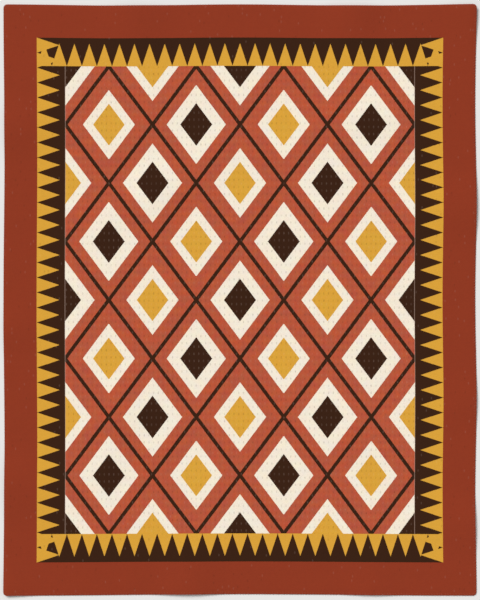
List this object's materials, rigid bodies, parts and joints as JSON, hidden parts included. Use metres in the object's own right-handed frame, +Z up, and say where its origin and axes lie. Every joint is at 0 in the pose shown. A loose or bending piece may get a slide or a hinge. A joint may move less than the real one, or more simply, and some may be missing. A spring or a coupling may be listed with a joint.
{
  "type": "basotho blanket",
  "caption": "Flat rectangular woven wool blanket with a lozenge field, triangle border and plain outer margin, laid out with low swells.",
  "frame": {"origin": "on the surface that the blanket lies on, under the middle of the cloth", "axes": "+X across the cloth's width, +Y along its length, +Z up out of its face"},
  "size_m": [1.55, 1.9374, 0.0119],
  "materials": {
    "wool_cloth": "matt brushed wool, rust ground with red, dark brown, gold and cream figure woven in"
  },
  "bodies": {
    "root": {"blanket": "wool_cloth"}
  },
  "joints": []
}
